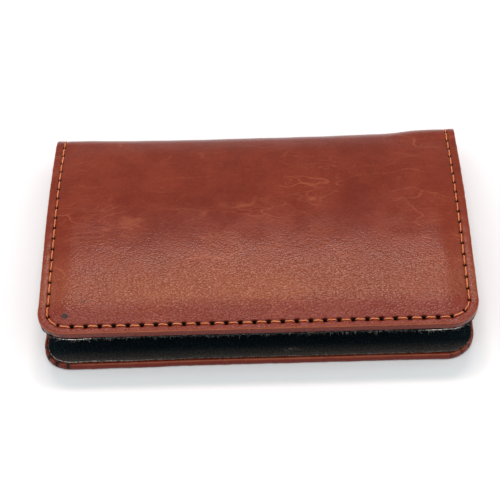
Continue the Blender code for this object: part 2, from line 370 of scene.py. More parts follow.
def leather_rows(side, a):
    """u, w, depth, inset and kind of every row of the skin's section, at arc lengths a."""
    nominal_w = margin_point(a, 0.0)[1]
    edge, hem = zone_value(side, nominal_w, 0), zone_value(side, nominal_w, 1)
    wobble = 0.035 * ripple(a, 0 * a, 9, 11) + 0.02 * ripple(a, 0 * a, 2.6, 12)
    gather = pleats(side, a)
    turn_radius = np.minimum(0.6, edge * 0.4)
    base = relief(side, *margin_point(a, OUTER_START + 0 * a), a, OUTER_START + 0 * a, holes=False)
    rows = []
    for inset, kind, value in leather_profile():
        d = inset + 0 * a
        if kind == "outer":
            u, w = margin_point(a, d)
            depth = -relief(side, u, w, a, d)
        elif kind == "shoulder":
            d = EDGE_RADIUS * (1 - math.sin(value)) + wobble * math.sin(value)
            depth = -base + EDGE_RADIUS * (1 - math.cos(value)) + wobble
        elif kind == "wall":
            d = wobble - 0.04 * math.sin(math.pi * value) + 0.45 * gather * value
            depth = (EDGE_RADIUS - base) * (1 - value) + (edge - turn_radius) * value
        elif kind == "turn":
            d = turn_radius * (1 - math.cos(value)) + wobble * (1 - value / 2) + 0.5 * gather
            depth = edge - turn_radius + turn_radius * math.sin(value) - 0.4 * gather * math.sin(value)
            depth = depth + 0.02 * ripple(a, 0 * a, 5, 13) * math.sin(value)
        elif kind == "hem":
            depth = edge + (hem - edge) * value - 0.4 * gather * (1 - value)
        elif kind == "under":
            depth = hem - HEM_THICKNESS
        elif kind == "fold":
            depth = 0.5 * (hem - HEM_THICKNESS + INNER_SIDE)
        else:
            # the inner side dips under the needle holes, so that they stay open
            depth = INNER_SIDE - crown(side, margin_point(a, d)[1], a, d)
            depth = np.maximum(depth, 0.08 - relief(side, *margin_point(a, d), a, d))
        u, w = margin_point(a, d)
        rows.append((u, w, depth, d, kind))
    return rows


def leather_half(side):
    """The closed leather skin of one cover with its half of the spine."""
    end = side_arc(REACH[side])
    # columns of points stand close together at the holes and the pleats
    offsets = np.array([-1.3, -0.9, -0.52, -0.3, -0.14, 0.0, 0.14, 0.3, 0.52, 0.9, 1.3])
    spots = np.concatenate([hole + offsets for hole in HOLES[side]])
    spots = spots[np.abs(spots) < end - 0.12]
    fill = []
    for gap_end in (-1, 1):
        edge_spot = gap_end * np.max(gap_end * spots)
        fill.extend(np.arange(edge_spot + gap_end * 0.5, gap_end * (end - 0.2), gap_end * 0.5))
    for fold in PLEATS:
        spots = spots[np.abs(np.abs(spots) - fold) > 0.42]
        fill.extend(sign * (fold + offset) for sign in (-1, 1)
                    for offset in (-0.42, -0.28, -0.18, -0.09, 0, 0.09, 0.18, 0.28, 0.42))
    a = np.unique(np.round(np.concatenate([spots, fill, [-end, end]]), 5))
    rows = leather_rows(side, a)
    count = len(a)
    points, blank, painted_groove_shade, wear_and_highlight, band = [], [], [], [], []
    shoulder_look, turn_wear_and_highlight = iter(SHOULDER_LOOK), iter(TURN_WEAR_AND_HIGHLIGHT)
    # the lower cover's left side gets little of the edge wear and its painted ridge highlight
    kept = 1 - 0.8 * smooth(-a, STRAIGHT - 5, STRAIGHT + 1) * (side == "lower")
    for u, w, depth, d, kind in rows:
        points.append(place(side, u, w, depth))
        blank.append(on_blank(side, u, w))
        dark, edge_tint, banded = 0 * a, 0.0, 1.0
        if kind == "outer":
            inside = d - seam_inset(a)
            # painted shade in the needle holes and along the seam groove
            hole = np.exp(-(hole_reach(a, from_hole(side, a), inside) / 1.9) ** 3)
            dark = np.clip(hole + 0.28 * np.exp(-(inside / SEAM_GROOVE) ** 2), 0, 1)
            banded = 0.0
        elif kind == "shoulder":
            # edge wear with a painted highlight along the ridge
            edge_tint, banded = next(shoulder_look)
        elif kind in ("wall", "turn", "hem"):
            # painted shade in the pleat creases
            dark = np.minimum(1, 1.5 * pleats(side, a))
            edge_tint = next(turn_wear_and_highlight) if kind == "turn" else 0.0
        painted_groove_shade.append(dark)
        wear_and_highlight.append(edge_tint * kept)
        band.append(banded + 0 * a)
    # the pattern carries on round the edge, so that the grain isn't stretched there
    run = 0.0
    for i, row in enumerate(rows):
        if row[4] != "outer":
            run = run + np.linalg.norm(points[i] - points[i - 1], axis=-1).mean() / MM
            blank[i] = on_blank(side, *margin_point(a, OUTER_START - run + 0 * a))

    co, uv, dark, edge_tint, turned_edge = (
        list(np.concatenate(part)) for part in (points, blank, painted_groove_shade, wear_and_highlight, band))
    faces = []
    for j in range(len(rows) - 1):
        for i in range(count - 1):
            near = j * count + i
            far = near + count
            faces.append((near, near + 1, far + 1, far))
    last_row = (len(rows) - 1) * count
    for start, spacing, outer in ((0, 0.95, True), (last_row, 3.2, False)):
        fill_centre(side, a, start, spacing, outer, co, uv, dark, edge_tint, faces)
    turned_edge += [0.0] * (len(co) - len(turned_edge))
    return skin_mesh("leather_" + side, co, faces, uv,
                     {"painted_groove_shade": dark, "wear_and_highlight": edge_tint, "band": turned_edge}, side == "upper")


def triangulate(points, border):
    """Triangles over points, of which the first ones run round the border."""
    edges = [(i, (i + 1) % border) for i in range(border)]
    out = delaunay_2d_cdt([Vector(p) for p in points], edges, [], 1, 1e-7, True)
    return [[out[3][v][0] for v in triangle] for triangle in out[2]]


def fill_centre(side, a, start, spacing, outer, co, uv, dark, edge_tint, faces):
    """Triangles across the middle of a half, inside the row of points that begins at start."""
    reach = REACH[side]
    ring_u, ring_w = margin_point(a, BAND_INSET + 0 * a)
    ring = pairs(ring_u, ring_w)
    inner_half = HALF_WIDTH - BAND_INSET
    cut_count = int(2 * inner_half / 1.6)
    cut_u = np.linspace(inner_half, -inner_half, cut_count + 1)[1:-1]
    cut_line = pairs(cut_u, np.full(len(cut_u), reach))
    grid_u = np.arange(-inner_half + spacing * 0.7, inner_half - spacing * 0.5, spacing)
    grid_w = np.arange(BAND_INSET + spacing * 0.7, reach - spacing * 0.5, spacing)
    inner = []
    for k, w in enumerate(grid_w):
        row_u = grid_u + spacing / 2 * (k % 2)
        row_u = row_u[row_u < inner_half - spacing * 0.4]
        keep = margin_of(row_u, np.full(len(row_u), w))[1] > BAND_INSET + spacing * 0.4
        inner.append(pairs(row_u[keep], np.full(keep.sum(), w)))
    inner = np.concatenate(inner)
    points = np.concatenate([ring, cut_line, inner])
    a_all, d_all = margin_of(points[:, 0], points[:, 1])
    if outer:
        depth = -relief(side, points[:, 0], points[:, 1], a_all, d_all)
    else:
        depth = INNER_SIDE - crown(side, points[:, 1], a_all, d_all)
    spots = place(side, points[:, 0], points[:, 1], depth)
    number = [start + i for i in range(len(ring))]
    for i in range(len(ring), len(points)):
        number.append(len(co))
        co.append(spots[i])
        uv.append(np.array([points[i, 0], developed(side, points[i, 1])]))
        dark.append(0.0)
        edge_tint.append(0.0)
    for triangle in triangulate(points, len(ring) + len(cut_line)):
        corners = [number[v] for v in triangle]
        faces.append(corners[::-1] if outer else corners)


# ---- meshes and materials
def skin_mesh(name, co, faces, uv, values, flip=False):
    """A closed, smooth-shaded mesh object with a blank-coordinate UV map and point attributes."""
    mesh = bpy.data.meshes.new(name)
    shown = [tuple(reversed(face)) for face in faces] if flip else faces
    mesh.from_pydata([tuple(p) for p in co], [], [tuple(face) for face in shown])
    layer = mesh.uv_layers.new(name="blank")
    corner = np.zeros(len(mesh.loops), dtype=np.int32)
    mesh.loops.foreach_get("vertex_index", corner)
    layer.data.foreach_set("uv", np.array(uv)[corner].astype(np.float32).ravel() * 0.01)
    for key, data in values.items():
        attribute = mesh.attributes.new(key, "FLOAT", "POINT")
        attribute.data.foreach_set("value", np.array(data, np.float32))
    shape = bmesh.new()
    shape.from_mesh(mesh)
    open_edges = [edge for edge in shape.edges if len(edge.link_faces) == 1]
    if open_edges:
        for edge in open_edges:
            edge.smooth = False
        filled = bmesh.ops.holes_fill(shape, edges=open_edges)
        bmesh.ops.triangulate(shape, faces=filled["faces"])
    bmesh.ops.recalc_face_normals(shape, faces=shape.faces)
    shape.to_mesh(mesh)
    shape.free()
    mesh.shade_smooth()
    piece = bpy.data.objects.new(name, mesh)
    scene.collection.objects.link(piece)
    return piece


# ---- sheets laid on the inner side
def edge_path(inset, start, end, step):
    """Points at an inset from the edge, from arc length start to end. The inset may vary."""
    a = np.linspace(start, end, max(2, int(abs(end - start) / step)))
    return margin_point(a, inset(a))


def within_outline(points, outline):
    """Which points lie within the outline, and how far each is from it."""
    crossings = np.zeros(len(points), dtype=int)
    nearest = np.full(len(points), 1e9)
    for p, q in zip(outline, np.roll(outline, -1, 0)):
        spans = (p[1] > points[:, 1]) != (q[1] > points[:, 1])
        slope = (q[0] - p[0]) / (q[1] - p[1]) if q[1] != p[1] else 0.0
        crossings += spans & (points[:, 0] < p[0] + (points[:, 1] - p[1]) * slope)
        share = np.clip((points - p) @ (q - p) / max(1e-12, (q - p) @ (q - p)), 0, 1)
        nearest = np.minimum(nearest, np.linalg.norm(points - p - share[:, None] * (q - p), axis=1))
    return crossings % 2 == 1, nearest


def laid_sheet(name, side, outline, top, bottom, spacing, flare=0.0, raw=1.0):
    """A closed thin sheet over an outline on the blank, between two depths."""
    reach_low, reach_high = outline.min(0), outline.max(0)
    grid_u = np.arange(reach_low[0], reach_high[0], spacing)
    inner = []
    for k, w in enumerate(np.arange(reach_low[1], reach_high[1], spacing * 0.87)):
        inner.append(pairs(grid_u + spacing / 2 * (k % 2), np.full(len(grid_u), w)))
    inner = np.concatenate(inner)
    within, nearest = within_outline(inner, outline)
    inner = inner[within & (nearest > spacing * 0.45)]
    points = np.concatenate([outline, inner])
    border = len(outline)
    triangles = np.array(triangulate(points, border))
    triangles = triangles[within_outline(points[triangles].mean(1), outline)[0]]
    u, w = points[:, 0], points[:, 1]
    high, low = top(u, w), bottom(u, w)
    away = outline - outline.mean(0)
    away = away / np.linalg.norm(away, axis=1)[:, None] * flare
    co = [place(side, u, w, high), place(side, u, w, low)]
    count = len(points)
    uv = [on_blank(side, u, w)] * 2
    for share, out in ((0.1, 0.75), (0.5, 1.0), (0.9, 0.75)):
        rim_u, rim_w = outline[:, 0] + out * away[:, 0], outline[:, 1] + out * away[:, 1]
        co.append(place(side, rim_u, rim_w, high[:border] * (1 - share) + low[:border] * share))
        uv.append(on_blank(side, rim_u, rim_w))
    faces = [tuple(face) for face in triangles.tolist()]
    faces += [tuple(count + v for v in reversed(face)) for face in triangles.tolist()]
    rings = [0, 2 * count, 2 * count + border, 2 * count + 2 * border, count]
    for i in range(border):
        j = (i + 1) % border
        faces += [(near + j, near + i, far + i, far + j) for near, far in zip(rings, rings[1:])]
    cut = np.concatenate([np.zeros(2 * count)] + [np.ones(border) * raw] * 3)
    return skin_mesh(name, np.concatenate(co), faces, np.concatenate(uv), {"cut": cut})


def hem_face(side, w):
    return zone_value(side, w, 1)


def lining_inset(side):
    def inset(a):
        _, w = margin_point(a, 1.0 + 0 * a)
        to_spine = smooth(w, CREASE[side] - 6, CREASE[side])
        return PANEL_INSET[side] + 0.05 + (LINING_INSET - PANEL_INSET[side]) * to_spine
    return inset


def make_lining(side):
    end = side_arc(REACH[side])
    u, w = edge_path(lining_inset(side), -end, end, 0.7)
    back_u = np.linspace(u[-1], u[0], 90)[1:-1]
    outline = np.concatenate([pairs(u, w), pairs(back_u, np.full(88, REACH[side]))])
    return laid_sheet("lining_" + side, side, outline,
                      lambda u, w: hem_face(side, w) + LINING_GAP + LINING_THICKNESS,
                      lambda u, w: hem_face(side, w) + LINING_GAP, 1.2)


def panel_inset(side):
    def inset(a):
        fray = 0.05 * ripple(a, 0 * a, 1.6, 21) + 0.06 * ripple(a, 0 * a, 6, 22)
        reach = PANEL_INSET[side] + fray
        if side == "upper":
            reach = reach - 0.26 * np.exp(-((np.abs(a) - STRAIGHT + 3) / 5) ** 2)
        else:
            reach = (reach - 0.3 * smooth(a, STRAIGHT, STRAIGHT + ARC)
                     + 0.1 * smooth(-a, STRAIGHT, STRAIGHT + ARC))
        return reach
    return inset


def panel_slack(side, u, w):
    """How far the pocket panel stands off the lining, most of all at its mouth."""
    across = np.clip(1 - (u / (HALF_WIDTH - 5)) ** 2, 0, 1)
    along = smooth(w, 6, MOUTH[side])
    return PANEL_SLACK[side] * across * along


def make_panel(side):
    """The card pocket: one panel of suede, open towards the spine with a thumb notch."""
    mouth, end = MOUTH[side], side_arc(MOUTH[side])
    u, w = edge_path(panel_inset(side), -end, end, 0.35)
    notch = [(NOTCH_RADIUS * math.cos(t), mouth - NOTCH_RADIUS * math.sin(t))
             for t in np.linspace(0.02, math.pi - 0.02, 30)]
    right = [(x, mouth) for x in np.linspace(u[-1], NOTCH_RADIUS + 0.6, 34)[1:]]
    left = [(x, mouth) for x in np.linspace(-NOTCH_RADIUS - 0.6, u[0], 34)[:-1]]
    outline = np.concatenate([pairs(u, w), np.array(right + notch + left)])
    droop = 0.0 if side == "upper" else 0.06

    def base(u, w):
        _, d = margin_of(u, w)
        hang = droop * (1 - smooth(d, 0.2, 3.0))
        uneven = 0.03 * ripple(u, w, 5, 23) * smooth(d, 0.5, 2)
        return hem_face(side, w) + 0.02 + LINING_THICKNESS + hang + uneven + panel_slack(side, u, w)

    a, _ = margin_of(outline[:, 0], outline[:, 1])
    raw = 0.35 + 0.30 * smooth(-a, 18, 40) * (1 - smooth(-a, STRAIGHT + ARC, STRAIGHT + ARC + 14))
    if side == "upper":
        raw = 0.34 + 0.62 * np.exp(-((np.abs(a) - 43) / 3.8) ** 4)
    return laid_sheet("card_pocket_" + side, side, outline, lambda u, w: base(u, w) + PANEL_THICKNESS, base,
                      1.3, flare=0.14 if side == "upper" else 0.06, raw=raw)


def filling_outline(side, inset, gap):
    """Outline of a layer inside one cover: inset from its edge, and a gap short of its crease."""
    last = side_arc(CREASE[side] - gap)
    u, w = edge_path(lambda a: inset + 0 * a, -last, last, 1.2)
    back = np.linspace(u[-1], u[0], 50)[1:-1]
    return np.concatenate([pairs(u, w), pairs(back, np.full(48, w[-1]))])


def make_padding():
    """The foam under the upper cover's leather, crowned and thinned towards its edge."""
    side = "upper"
    face, back = PADDING_DEPTH

    def top(u, w):
        a, d = margin_of(u, w)
        return face - crown(side, w, a, d) + 0.5 * (1 - smooth(d, PADDING_INSET, 5))

    return laid_sheet("padding_upper", side, filling_outline(side, PADDING_INSET, PADDING_GAP), top,
                      lambda u, w: back + 0 * u, 2.4, flare=0.1)


def make_board(side):
    """The stiffening board between the leather and its turned hem."""
    outer = BOARD_DEPTH[side]
    return laid_sheet("board_" + side, side, filling_outline(side, BOARD_INSET, BOARD_GAP),
                      lambda u, w: outer + 0 * u, lambda u, w: outer + BOARD_THICKNESS + 0 * u, 2.4)


def make_reinforcement(side):
    """The stiffener inside one half of the spine."""
    start, end = CREASE[side] + 0.3, REACH[side]
    wide = HALF_WIDTH - STIFFENER_INSET
    across = np.linspace(-wide, wide, 60)
    up = np.linspace(start, end, 8)[1:-1]
    outline = np.concatenate([
        pairs(across, np.full(60, start)), pairs(np.full(6, wide), up),
        pairs(across[::-1], np.full(60, end)), pairs(np.full(6, -wide), up[::-1])])
    low, high = STIFFENER_DEPTH
    return laid_sheet("reinforcement_" + side, side, outline, lambda u, w: high + 0 * u,
                      lambda u, w: low + 0 * u, 2.2)


# ---- thread
def tube_frame(side, u, w, depth):
    """Centre lines in mm, one a row, with unit vectors across them and outwards at each point."""
    path = place(side, u, w, depth) / MM
    out = place(side, u, w, depth - 1.0) / MM - path
    along = np.gradient(path, axis=1)
    along /= np.linalg.norm(along, axis=-1, keepdims=True)
    across = np.cross(along, out)
    across /= np.linalg.norm(across, axis=-1, keepdims=True)
    return path, across, np.cross(across, along)


def tube_faces(count, steps, sides):
    """Faces of closed tubes whose points are numbered tube by tube, then step by step."""
    faces = []
    for base in range(0, count * steps * sides, steps * sides):
        for i in range(steps - 1):
            for j in range(sides):
                near = base + i * sides + j
                ahead = base + i * sides + (j + 1) % sides
                faces.append((near, ahead, ahead + sides, near + sides))
        faces.append(tuple(base + j for j in reversed(range(sides))))
        faces.append(tuple(base + (steps - 1) * sides + j for j in range(sides)))
    return faces


def inner_face(side, a):
    """Depth of the inner side's top along the seam: pocket panel, or lining beside the spine."""
    _, w = margin_point(a, seam_inset(a))
    over_panel = 1 - smooth(w, MOUTH[side] - 0.6, MOUTH[side] + 0.6)
    return hem_face(side, w) + LINING_THICKNESS + (PANEL_THICKNESS + 0.05) * over_panel


def make_stitching(side, inner):
    """One closed twisted tube for every stitch, dipping into its two needle holes."""
    holes = HOLES[side]
    if side == "upper":
        step = holes[1] - holes[0]
        holes = np.concatenate([[holes[0] - step], holes, [holes[-1] + step]])
    draw = np.random.default_rng(31 + len(holes) + inner)
    steps, sides = 17, 8
    t = np.linspace(0, 1, steps)
    t = 0.5 - 0.5 * np.cos(math.pi * t) * (0.55 + 0.45 * np.abs(np.cos(math.pi * t)))
    starts, gaps = holes[:-1], np.diff(holes)
    count = len(starts)
    a = starts[:, None] + 0.02 * gaps[:, None] + 0.96 * gaps[:, None] * t
    slant = draw.normal(0, 0.035, (count, 1)) + (t - 0.5) * draw.normal(-0.13, 0.03, (count, 1))
    open_hole = 0.075 * (1 - smooth(np.abs(a), STRAIGHT - 2, STRAIGHT + 3)) * (not inner)
    plateau = smooth(t - open_hole, 0.0, 0.16) * (1 - smooth(t + open_hole, 0.84, 1.0))
    d = seam_inset(a) + slant
    u, w = margin_point(a, d)
    slack = draw.uniform(-0.02, 0.03, (count, 1))
    if inner:
        radius = INNER_THREAD_RADIUS
        depth = inner_face(side, a) - 0.10 * plateau - 0.30 * (1 - plateau)
    else:
        radius = THREAD_RADIUS + draw.uniform(-0.01, 0.012, (count, 1))
        on_table = (1 - smooth(w, CREASE[side], CREASE[side] + 6)) * (side == "lower")
        surface = relief(side, *margin_point(a, seam_inset(a)), a, seam_inset(a), holes=False)
        rise = 0.11 - 0.08 * on_table + slack * (1 - on_table)
        depth = -(surface + rise * plateau - 0.95 * (1 - plateau))
    path, across, out = tube_frame(side, u, w, depth)
    angle = 2 * math.pi * np.arange(sides) / sides
    twist = 2 * math.pi * 1.15 * t[None, :] + draw.uniform(0, 6, (count, 1))
    lobe = np.cos(2 * (angle[None, None, :] - twist[:, :, None]))
    taper = (0.72 + 0.28 * plateau)[:, :, None]
    size = np.broadcast_to(np.asarray(radius), (count, 1))[:, :, None] * taper * (1 + 0.17 * lobe)
    ring = (path[:, :, None, :] + size[..., None] * (
        np.cos(angle)[None, None, :, None] * across[:, :, None, :] * 1.08
        + np.sin(angle)[None, None, :, None] * out[:, :, None, :] * 0.95))
    co = ring.reshape(-1, 3) * MM
    uv = np.zeros((count, steps, sides, 2))
    uv[..., 0] = a[:, :, None]
    uv[..., 1] = (angle / (2 * math.pi) * 1.3)[None, None, :]
    tone = np.broadcast_to(draw.uniform(0, 1, (count, 1, 1)), lobe.shape)
    sunk_shade = np.broadcast_to((1 - plateau)[:, :, None], lobe.shape)
    name = ("inner_stitching_" if inner else "stitching_") + side
    return skin_mesh(name, co, tube_faces(count, steps, sides), uv.reshape(-1, 2),
                     {"ply": lobe.ravel(), "tone": tone.ravel(), "sunk_shade": sunk_shade.ravel()})


def make_fibres(side):
    """Loose fibres along the raw edge of the pocket panel."""
    count = FIBRE_COUNT[side]
    draw = np.random.default_rng(41)
    inset = panel_inset(side)
    limit = STRAIGHT + ARC + 18
    a = draw.uniform(-limit, limit, count)
    start_d = inset(a) + draw.uniform(-0.02, 0.12, count)
    length = draw.gamma(3.0, 0.12, count) + 0.08
    heading = draw.normal(0, 0.7, count)
    if side == "upper":
        lift = draw.uniform(0.1, 0.8, count)
    else:
        lift = draw.normal(0.0, 0.25, count)
    curl = draw.normal(0, 0.5, count)
    low = hem_face(side, margin_point(a, start_d)[1]) + LINING_THICKNESS + (0.34 if side == "upper" else 0.06)
    start_depth = low + draw.uniform(0.02, PANEL_THICKNESS - 0.02, count)
    steps, sides = 5, 3
    t = np.linspace(0, 1, steps)[None, :]
    bend = heading[:, None] + curl[:, None] * t
    run = length[:, None] * t
    point_a = a[:, None] + run * np.sin(bend)
    point_d = start_d[:, None] - run * np.cos(bend)
    depth = start_depth[:, None] + run * lift[:, None]
    u, w = margin_point(point_a, point_d)
    path, across, out = tube_frame(side, u, w, depth)
    radius = FIBRE_RADIUS * (1 - 0.75 * t)[..., None]
    ring = np.stack([path + radius * (math.cos(angle) * across + math.sin(angle) * out)
                     for angle in (0, 2 * math.pi / 3, 4 * math.pi / 3)], 2)
    uv = on_blank(side, u, w)[:, :, None, :].repeat(sides, 2).reshape(-1, 2)
    tone = np.broadcast_to(draw.uniform(0, 1, (count, 1, 1)), ring.shape[:3]).ravel()
    return skin_mesh("loose_fibres_" + side, ring.reshape(-1, 3) * MM,
                     tube_faces(count, steps, sides), uv, {"tone": tone})


# ---- materials
class Paint:
    """A node material, written as short expressions. Blank coordinates are in units of 100 mm."""

    def __init__(self, name):
        self.material = bpy.data.materials.new(name)
        self.material.use_nodes = True
        self.tree = self.material.node_tree
        self.tree.nodes.clear()
        output = self.node("ShaderNodeOutputMaterial")
        self.shader = self.node("ShaderNodeBsdfPrincipled")
        self.tree.links.new(self.shader.outputs[0], output.inputs["Surface"])

    def node(self, kind, inputs=None, **settings):
        """A new node with its settings and, by name or number, its inputs."""
        made = self.tree.nodes.new(kind)
        for key, value in settings.items():
            setattr(made, key, value)
        for key, value in (inputs or {}).items():
            self.put(made.inputs[key], value)
        return made

    def put(self, socket, value):
        if isinstance(value, bpy.types.NodeSocket):
            self.tree.links.new(value, socket)
        else:
            socket.default_value = value

    def set(self, **values):
        for key, value in values.items():
            self.put(self.shader.inputs[key.replace("_", " ")], value)

    def blank(self):
        return self.node("ShaderNodeUVMap", uv_map="blank").outputs["UV"]

    def value(self, name):
        return self.node("ShaderNodeAttribute", attribute_name=name).outputs["Fac"]

    def noise(self, vector, size, detail=2.0, rough=0.5, distortion=0.0, output="Fac"):
        inputs = {"Vector": vector, "Scale": 100.0 / size, "Detail": detail, "Roughness": rough,
                  "Distortion": distortion}
        return self.node("ShaderNodeTexNoise", inputs).outputs[output]

    def cells(self, vector, size):
        inputs = {"Vector": vector, "Scale": 100.0 / size}
        return self.node("ShaderNodeTexVoronoi", inputs).outputs["Distance"]

    def math(self, kind, *values):
        return self.node("ShaderNodeMath", dict(enumerate(values)), operation=kind).outputs[0]

    def plus(self, first, second):
        return self.math("ADD", first, second)

    def times(self, first, second):
        return self.math("MULTIPLY", first, second)

    def vector(self, kind, *values):
        return self.node("ShaderNodeVectorMath", dict(enumerate(values)), operation=kind)

    def axis(self, vector, name):
        return self.node("ShaderNodeSeparateXYZ", {0: vector}).outputs[name]

    def stretched(self, vector, scale, move=(0.0, 0.0, 0.0), turn=0.0):
        """The vector scaled, turned about Z, then moved."""
        inputs = {"Vector": vector, "Scale": scale, "Location": move, "Rotation": (0.0, 0.0, turn)}
        return self.node("ShaderNodeMapping", inputs).outputs[0]

    def remap(self, value, low, high, to_low=0.0, to_high=1.0):
        inputs = {"Value": value, "From Min": low, "From Max": high, "To Min": to_low, "To Max": to_high}
        return self.node("ShaderNodeMapRange", inputs, interpolation_type="SMOOTHSTEP").outputs[0]

    def mix(self, share, first, second):
        made = self.node("ShaderNodeMix", {"Factor": share}, data_type="RGBA")
        for socket, value in ((made.inputs[6], first), (made.inputs[7], second)):
            self.put(socket, value if isinstance(value, bpy.types.NodeSocket) else (*value, 1.0))
        return made.outputs[2]

    def shifted(self, vector, size, amount):
        """The vector moved about by noise of a given size, by up to about amount in mm."""
        centred = self.vector("SUBTRACT", self.noise(vector, size, output="Color"), (0.5, 0.5, 0.5))
        push = self.vector("SCALE", centred.outputs[0])
        self.put(push.inputs["Scale"], amount * 0.02)
        return self.vector("ADD", vector, push.outputs[0]).outputs[0]

    def bump(self, *layers):
        """Bump from (height, depth in mm) layers."""
        inputs = {}
        for height, depth in layers:
            inputs.update({"Height": height, "Strength": 1.0, "Distance": depth * MM})
            inputs["Normal"] = self.node("ShaderNodeBump", inputs).outputs[0]
        self.set(Normal=inputs["Normal"])


PULL_UP_LINES = ((15.0, 0.004, 0.26), (8.0, 0.007, 0.24), (4.0, 0.013, 0.17), (2.2, 0.02, 0.10))
SCUFF_U, SCUFF_V = 0.28, 1.3  # how the pale scuff is stretched


def leather_paint():
    p = Paint("pebbled_leather")
    at = p.blank()
    cloud = p.noise(at, 34, 3.0, 0.55)
    patch = p.noise(at, 7, 4.0, 0.62)
    speck = p.noise(at, 0.9, 2.0, 0.6)
    tone = p.plus(p.times(p.remap(cloud, 0.3, 0.7), 0.42),
                  p.times(p.remap(patch, 0.28, 0.72), 0.34))
    tone = p.plus(tone, p.times(p.remap(speck, 0.3, 0.7), 0.22))
    # painted sheen, with some handling rub: the front half of the upper cover is painted lighter, most in the
    # middle
    along = p.axis(at, "Y")
    front = p.remap(along, 0.01 * (LENGTH - 33), 0.01 * (LENGTH - 10))
    front = p.times(front, p.plus(0.35, p.times(front, 0.65)))
    middle = p.remap(p.math("ABSOLUTE", p.axis(at, "X")), 0.20, 0.52, 1.0, 0.5)
    off_seam = p.remap(along, 0.01 * (LENGTH - 10), 0.01 * (LENGTH - 4.5), 1.0, 0.15)
    rub_and_sheen_face = p.times(p.times(front, middle), p.remap(cloud, 0.25, 0.6, 0.6, 1.0))
    rub_and_sheen = p.times(rub_and_sheen_face, off_seam)
    colour = p.mix(tone, (0.102, 0.0086, 0.0021), (0.180, 0.0242, 0.0068))
    # painted sheen, partly handling rub: a lighter warm colour over the front half
    colour = p.mix(p.times(rub_and_sheen, 0.66), colour, (0.25, 0.072, 0.029))
    # painted shade: over the last 10 mm to the upper cover's front edge the colour is painted darker and
    # redder, where the face rolls down out of the sheen
    colour = p.mix(p.remap(off_seam, 0.15, 1.0, 0.6, 0.0), colour, (0.150, 0.0125, 0.0025))
    # fine pull-up lines, drawn out along the case
    drawn = p.stretched(p.shifted(at, 5, 0.9), (0.24, 0.95, 1.0), (0.37, 0.12, 0.0), 0.30)
    for size, width, strength in PULL_UP_LINES:
        line = p.math("ABSOLUTE", p.math("SUBTRACT", p.noise(drawn, size, 0.8), 0.5))
        line = p.times(p.remap(line, 0.0, width, 1.0, 0.0), p.remap(p.noise(at, 17), 0.42, 0.62))
        colour = p.mix(p.times(line, strength), colour, (0.40, 0.125, 0.055))
    # two small dark blemishes near the front left corner
    for spot_u, spot_v, across, depth in BLEMISHES:
        from_spot = p.vector("DISTANCE", p.shifted(at, 0.8, 0.55), (0.01 * spot_u, 0.01 * spot_v, 0.0))
        mark = p.remap(from_spot.outputs["Value"], 0.003 * across, 0.0075 * across, depth, 0.0)
        colour = p.mix(mark, colour, (0.012, 0.005, 0.002))
    # the grain: short wrinkles along the case
    pebble = p.cells(p.stretched(p.shifted(at, 0.9, 0.28), (0.70, 1.0, 1.0)), 0.42)
    dome = p.times(pebble, pebble)
    grain = p.times(dome, p.plus(0.16, p.times(rub_and_sheen_face, 1.15)))
    # painted glints, partly rubbed tops: pebble tops are painted lighter, most within the front's painted
    # sheen
    crest = p.remap(pebble, 0.05, 0.34, 1.0, 0.0)
    rub_and_glint = p.plus(0.02, p.times(rub_and_sheen, 0.36))
    colour = p.mix(p.times(crest, rub_and_glint), colour, (0.50, 0.22, 0.12))
    # painted shade in the creases between the pebbles
    colour = p.mix(p.remap(dome, 0.10, 0.42, 0.0, 0.14), colour, (0.07, 0.006, 0.002))
    colour = p.mix(p.times(p.value("band"), 0.95), colour, (0.120, 0.0080, 0.0006))
    # painted highlight along the ridge of the turned edge, partly real edge wear
    edge_wear_and_highlight = p.times(p.value("wear_and_highlight"), p.remap(patch, 0.2, 0.7, 0.4, 1.0))
    colour = p.mix(p.times(edge_wear_and_highlight, 0.75), colour, (0.42, 0.140, 0.050))
    painted_groove_shade = p.value("painted_groove_shade")
    # painted shade in the needle holes, the seam groove and the pleat creases
    colour = p.mix(painted_groove_shade, colour, (0.010, 0.0012, 0.0005))
    rough = p.plus(p.remap(patch, 0.3, 0.7, 0.24, 0.32), p.times(painted_groove_shade, 0.3))
    p.bump((p.noise(at, 1.7), 0.018), (grain, -0.10), (p.noise(at, 0.22, 2.0, 0.6), 0.008))
    p.set(Base_Color=colour, Roughness=rough, Specular_IOR_Level=0.25, IOR=1.48)
    return p.material


def thread_paint(name, dark, light, fuzz):
    p = Paint(name)
    # lighter on the crests of the plies, darker in the valleys between them: painted highlight and shade
    colour = p.mix(p.remap(p.value("ply"), -1.0, 0.4), dark, light)
    colour = p.mix(p.times(p.value("tone"), 0.35), colour, fuzz)
    # painted shade where the thread dives into its needle holes
    colour = p.mix(p.remap(p.value("sunk_shade"), 0.05, 0.6), colour, (0.02, 0.004, 0.002))
    p.bump((p.noise(p.blank(), 0.12), 0.02))
    p.set(Base_Color=colour, Roughness=0.72, Specular_IOR_Level=0.25)
    return p.material


